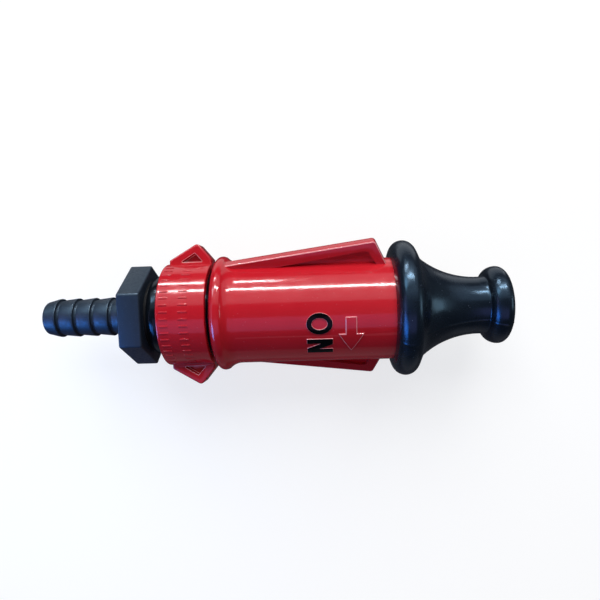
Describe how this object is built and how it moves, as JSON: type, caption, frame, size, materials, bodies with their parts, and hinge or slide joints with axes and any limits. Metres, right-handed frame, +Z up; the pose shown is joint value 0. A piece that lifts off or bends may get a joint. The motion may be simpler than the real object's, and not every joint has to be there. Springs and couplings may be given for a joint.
{
  "type": "fire hose nozzle",
  "caption": "Twist-action hose reel nozzle with a barbed hose tail, red lug collar, red finned barrel and black rubber bumper at the outlet.",
  "frame": {"origin": "on the flow axis, at the front end of the barbed spigot, 0.6 mm behind the hose tail's hexagon, where the end of the hose stops", "axes": "+X along the flow axis towards the outlet, +Z up, the two collar lugs along +Y and -Y"},
  "size_m": [0.237, 0.0718, 0.0688],
  "materials": {
    "red_moulding": "glossy moulded red",
    "black_moulding": "satin moulded black",
    "black_gloss_moulding": "glossy moulded black",
    "bumper_rubber": "smooth glossy moulded rubber",
    "seal_rubber": "smooth black nitrile",
    "drive_plastic": "natural acetal",
    "brass": "machined",
    "stainless": "machined stainless",
    "spring_steel": "dark spring steel",
    "mark_black": "glossy black paint on raised letters"
  },
  "bodies": {
    "inlet": {"hose_tail": "black_moulding", "tail_washer": "seal_rubber", "inlet_body": "black_gloss_moulding", "lug_collar": "red_moulding", "collar_clip": "spring_steel", "drive_screw": "drive_plastic", "screw_clip": "spring_steel", "rear_stem_seal": "seal_rubber", "front_stem_seal": "seal_rubber", "valve_cone": "stainless", "valve_seal": "seal_rubber", "cone_screw": "stainless"},
    "index": {"index_ring": "drive_plastic", "detent_balls": "stainless", "detent_springs": "spring_steel"},
    "barrel": {"barrel": "red_moulding", "barrel_liner": "black_moulding", "drive_nut": "drive_plastic", "liner_screws": "stainless", "jet_tip": "brass", "index_clip": "spring_steel", "wiper_ring": "seal_rubber", "rubber_bumper": "bumper_rubber", "on_mark": "mark_black", "off_mark": "mark_black"}
  },
  "joints": [
    {"name": "barrel_advance", "type": "slide", "parent": "inlet", "child": "index", "axis": [1, 0, 0], "range_m": [-0.0012, 0.0068]},
    {"name": "barrel_turn", "type": "hinge", "parent": "index", "child": "barrel", "pos_m": [0, 0, 0], "axis": [1, 0, 0], "range_deg": [-27, 153]}
  ],
  "couplings": [
    {"joint": "barrel_turn", "follows": "barrel_advance", "rad_per_m": 392.7}
  ]
}
